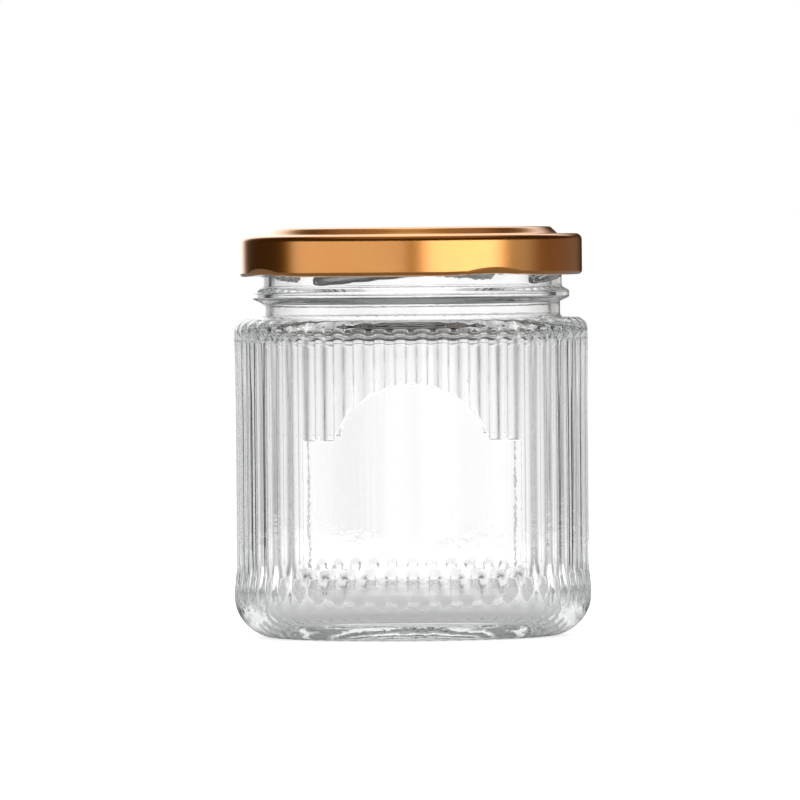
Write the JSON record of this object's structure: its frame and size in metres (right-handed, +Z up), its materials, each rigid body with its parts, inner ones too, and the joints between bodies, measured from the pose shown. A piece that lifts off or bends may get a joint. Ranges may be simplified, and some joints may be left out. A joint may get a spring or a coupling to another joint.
{
  "type": "ribbed glass jar with metal lug cap",
  "caption": "Clear round glass jar with upright ribs, an arched smooth label field front and back, and a copper-gold twist-off lug cap screwed shut.",
  "frame": {"origin": "middle of the base, on the plane the jar stands on", "axes": "+Z up along the jar's axis, -Y towards the front label field, +X to the right of it"},
  "size_m": [0.0756, 0.0756, 0.0865],
  "materials": {
    "glass": "clear flint glass, fire polished",
    "cap_metal": "satin copper-gold lacquer on tinplate",
    "seal": "soft off-white sealing compound"
  },
  "bodies": {
    "root": {"jar": "glass", "lid": "cap_metal", "seal_ring": "seal"}
  },
  "joints": []
}
